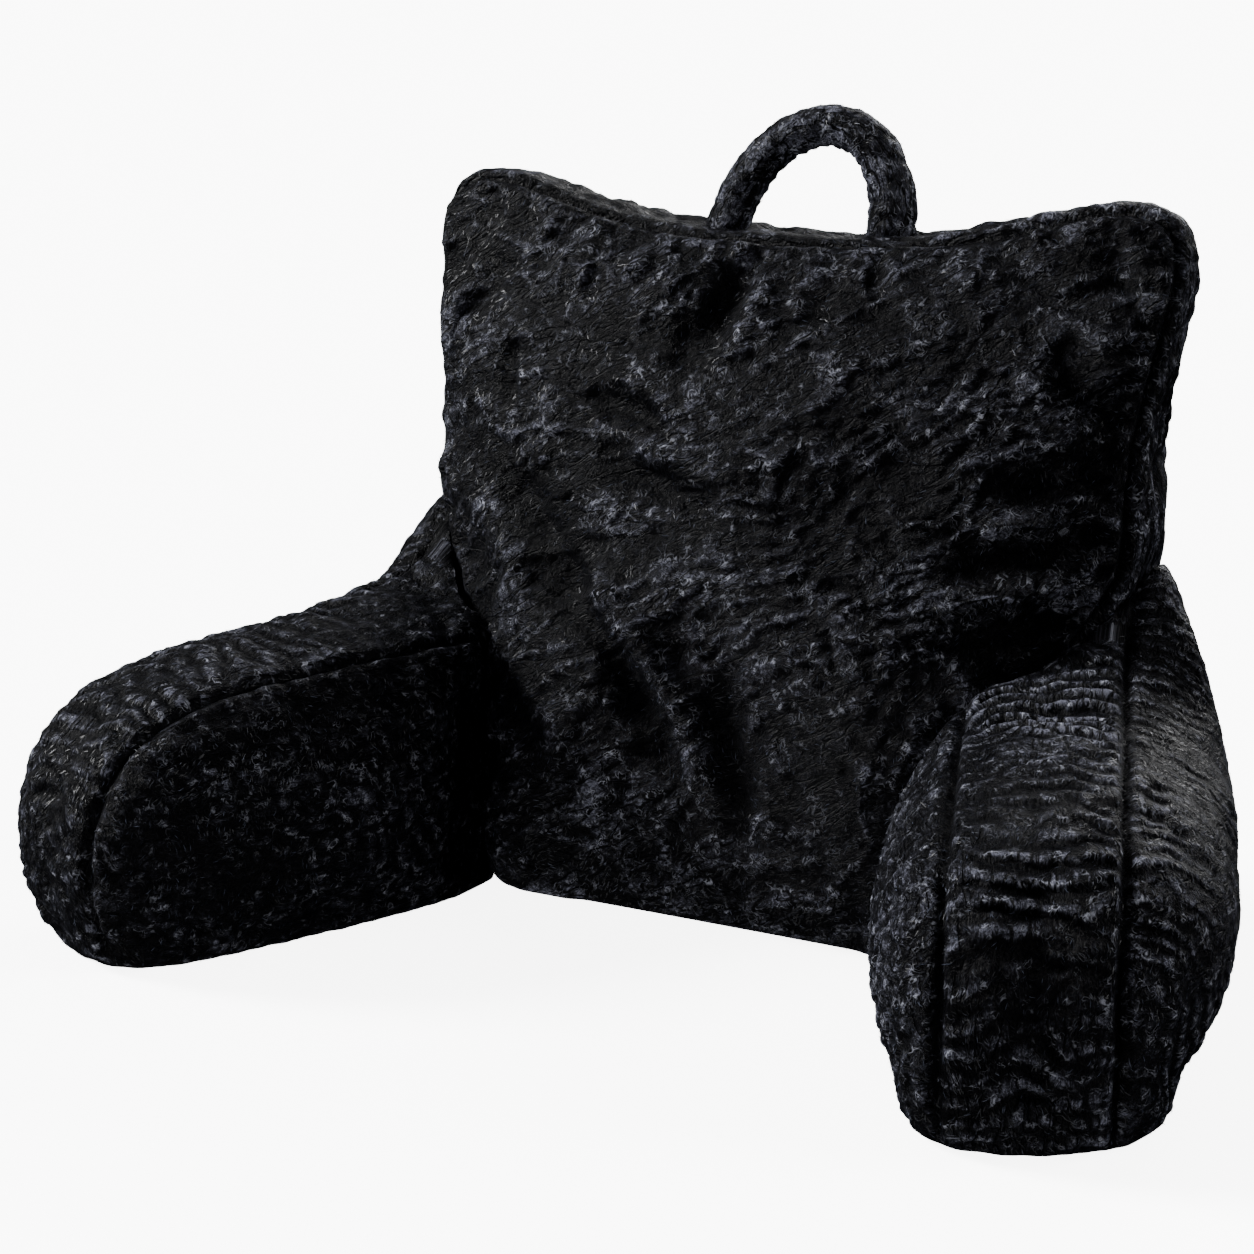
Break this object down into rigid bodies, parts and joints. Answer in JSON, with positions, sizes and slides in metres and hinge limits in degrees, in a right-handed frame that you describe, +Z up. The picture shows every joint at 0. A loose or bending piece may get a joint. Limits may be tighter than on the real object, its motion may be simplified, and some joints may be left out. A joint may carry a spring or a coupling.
{
  "type": "reading pillow with arms",
  "caption": "Upright filled back cushion with a gusset, a filled arm at each side that turns outwards, and a stuffed carry handle on top, in crushed pile fabric.",
  "frame": {"origin": "on the floor, in the middle of the pillow's footprint", "axes": "+X across the pillow, towards the arm on the right as seen from the front; +Y from the lap to the rear of the back cushion; +Z up"},
  "size_m": [0.805, 0.4692, 0.5232],
  "materials": {
    "back_plush": "black crushed plush pile, 3 to 5 mm long, matted in clumps",
    "arm_plush": "black crushed plush pile, 3 to 5 mm long, matted in ripples",
    "handle_plush": "black crushed plush pile, 3 to 5 mm long"
  },
  "bodies": {
    "root": {"back_cushion": "back_plush", "arm_left": "arm_plush", "arm_right": "arm_plush", "carry_handle": "handle_plush"}
  },
  "joints": []
}
